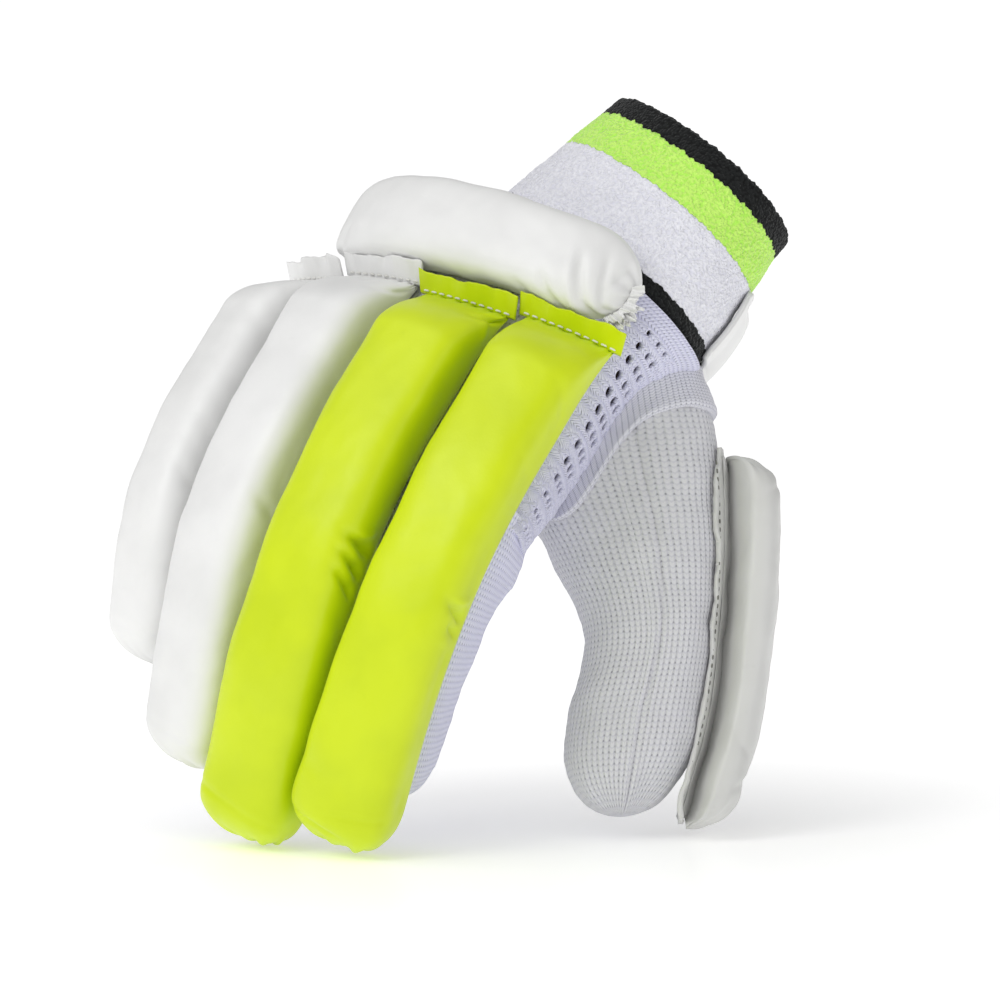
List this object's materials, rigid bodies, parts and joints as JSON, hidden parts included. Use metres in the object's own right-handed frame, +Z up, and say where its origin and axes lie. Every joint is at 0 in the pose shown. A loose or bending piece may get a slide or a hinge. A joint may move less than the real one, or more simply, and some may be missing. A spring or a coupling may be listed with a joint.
{
  "type": "cricket batting glove",
  "caption": "Right-hand cricket batting glove as worn: padded finger rolls in lime and white, knuckle pad, padded thumb, eyelet mesh side and striped towelling cuff.",
  "frame": {"origin": "middle of the cuff's open end, where the hand goes in", "axes": "+Z up with the cuff on top and the fingertips down, as in the picture; the picture's camera looks along +Y, so +X is the picture's right, the thumb's side"},
  "size_m": [0.1913, 0.138, 0.2044],
  "materials": {
    "lime_vinyl": "smooth coated vinyl with a soft sheen",
    "white_vinyl": "smooth coated vinyl with a soft sheen",
    "white_knit": "matt ribbed knit",
    "eyelet_mesh": "matt knitted mesh with eyelets",
    "white_terry": "matt looped towelling",
    "lime_terry": "matt looped towelling",
    "black_terry": "matt looped towelling"
  },
  "bodies": {
    "root": {"index_roll": "lime_vinyl", "index_flap": "lime_vinyl", "index_stall": "white_knit", "middle_roll": "lime_vinyl", "middle_flap": "lime_vinyl", "middle_stall": "white_knit", "ring_roll": "white_vinyl", "ring_flap": "white_vinyl", "ring_stall": "white_knit", "little_roll": "white_vinyl", "little_flap": "white_vinyl", "little_stall": "white_knit", "knuckle_pad": "white_vinyl", "thumb_pad": "white_vinyl", "thumb_flange": "white_vinyl", "wrist_strap": "white_vinyl", "back_panel": "white_knit", "palm_panel": "white_knit", "thumb_stall": "white_knit", "side_mesh": "eyelet_mesh", "cuff_white": "white_terry", "cuff_lime": "lime_terry", "cuff_stripe": "black_terry", "cuff_hem": "black_terry"}
  },
  "joints": []
}
